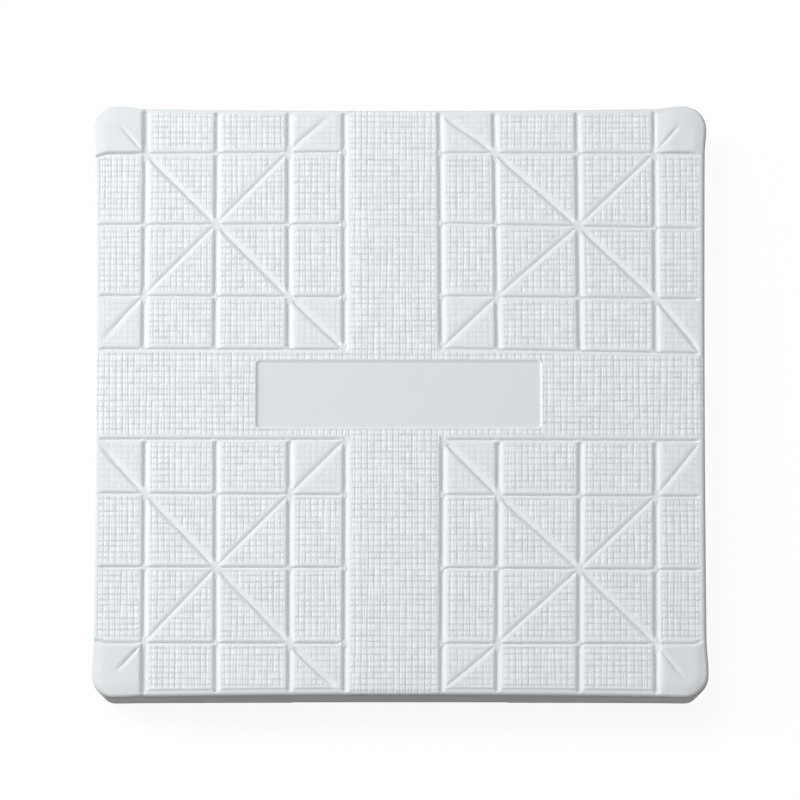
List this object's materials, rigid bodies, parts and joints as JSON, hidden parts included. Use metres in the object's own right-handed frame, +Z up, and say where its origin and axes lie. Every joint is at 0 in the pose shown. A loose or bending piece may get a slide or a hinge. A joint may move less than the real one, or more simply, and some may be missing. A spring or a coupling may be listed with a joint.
{
  "type": "baseball base",
  "caption": "Square moulded rubber baseball base with a grooved, canvas-textured top, a foam-padded ribbed core and a recessed steel anchor plate underneath.",
  "frame": {"origin": "on the ground under the middle of the base", "axes": "+Z up out of the playing face, -Y towards the edge that is nearest in the picture, +X to the right"},
  "size_m": [0.381, 0.381, 0.0381],
  "materials": {
    "white_rubber": "satin",
    "grey_foam": "matte",
    "black_plastic": "matte",
    "galvanised_steel": "satin",
    "zinc_plated_steel": "satin"
  },
  "bodies": {
    "root": {"rubber_cover": "white_rubber", "foam_pad": "grey_foam", "waffle_core": "black_plastic", "bottom_plate": "black_plastic", "anchor_plate": "galvanised_steel", "anchor_bolt_1": "zinc_plated_steel", "anchor_bolt_2": "zinc_plated_steel", "anchor_bolt_3": "zinc_plated_steel", "anchor_bolt_4": "zinc_plated_steel", "anchor_washer_1": "zinc_plated_steel", "anchor_washer_2": "zinc_plated_steel", "anchor_washer_3": "zinc_plated_steel", "anchor_washer_4": "zinc_plated_steel", "anchor_nut_1": "zinc_plated_steel", "anchor_nut_2": "zinc_plated_steel", "anchor_nut_3": "zinc_plated_steel", "anchor_nut_4": "zinc_plated_steel", "plate_screw_01": "zinc_plated_steel", "plate_screw_02": "zinc_plated_steel", "plate_screw_03": "zinc_plated_steel", "plate_screw_04": "zinc_plated_steel", "plate_screw_05": "zinc_plated_steel", "plate_screw_06": "zinc_plated_steel", "plate_screw_07": "zinc_plated_steel", "plate_screw_08": "zinc_plated_steel", "plate_screw_09": "zinc_plated_steel", "plate_screw_10": "zinc_plated_steel", "plate_screw_11": "zinc_plated_steel", "plate_screw_12": "zinc_plated_steel", "plate_screw_13": "zinc_plated_steel", "plate_screw_14": "zinc_plated_steel", "plate_screw_15": "zinc_plated_steel", "plate_screw_16": "zinc_plated_steel"}
  },
  "joints": []
}
